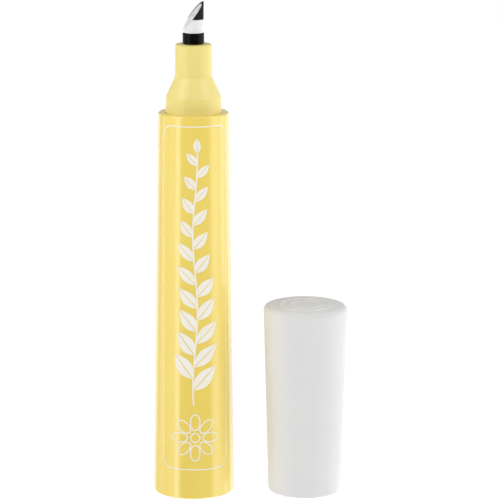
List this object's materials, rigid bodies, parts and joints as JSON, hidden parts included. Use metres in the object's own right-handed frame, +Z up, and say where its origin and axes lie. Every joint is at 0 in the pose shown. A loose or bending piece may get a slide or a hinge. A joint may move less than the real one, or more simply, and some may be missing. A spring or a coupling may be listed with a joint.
{
  "type": "cuticle remover pen",
  "caption": "Tapered applicator pen with a slanted fibre nib, shown open, and its tapered cap standing mouth down beside it.",
  "frame": {"origin": "centre of the pen's flat base, on the surface that the pen and the cap stand on", "axes": "+Z up along the pen's axis towards the nib, +X from the pen to the cap that stands beside it, and the picture looks along +Y"},
  "size_m": [0.0431, 0.0186, 0.1096],
  "materials": {
    "barrel_plastic": "soft gloss yellow, printed with a thin white outline and leaf ornament",
    "plug_plastic": "satin yellow",
    "nose_plastic": "paler yellow, soft gloss",
    "collar_plastic": "satin black",
    "nib_plastic": "milky white",
    "pusher_rubber": "soft black",
    "nib_fibre": "dense pressed white fibre",
    "reservoir_fibre": "bundled white fibre",
    "wrap_film": "thin clear film",
    "cap_plastic": "very pale grey, satin",
    "sleeve_plastic": "natural white"
  },
  "bodies": {
    "pen": {"barrel": "barrel_plastic", "end_plug": "plug_plastic", "nose_section": "nose_plastic", "nib_collar": "collar_plastic", "nib_body": "nib_plastic", "pusher_edge": "pusher_rubber", "felt_core": "nib_fibre", "fibre_reservoir": "reservoir_fibre", "reservoir_wrap": "wrap_film"},
    "cap": {"cap_shell": "cap_plastic", "inner_cap": "sleeve_plastic"}
  },
  "joints": [
    {"name": "cap_lift", "type": "slide", "parent": "pen", "child": "cap", "axis": [0, 0, 1], "range_m": [0, 0.115]}
  ]
}
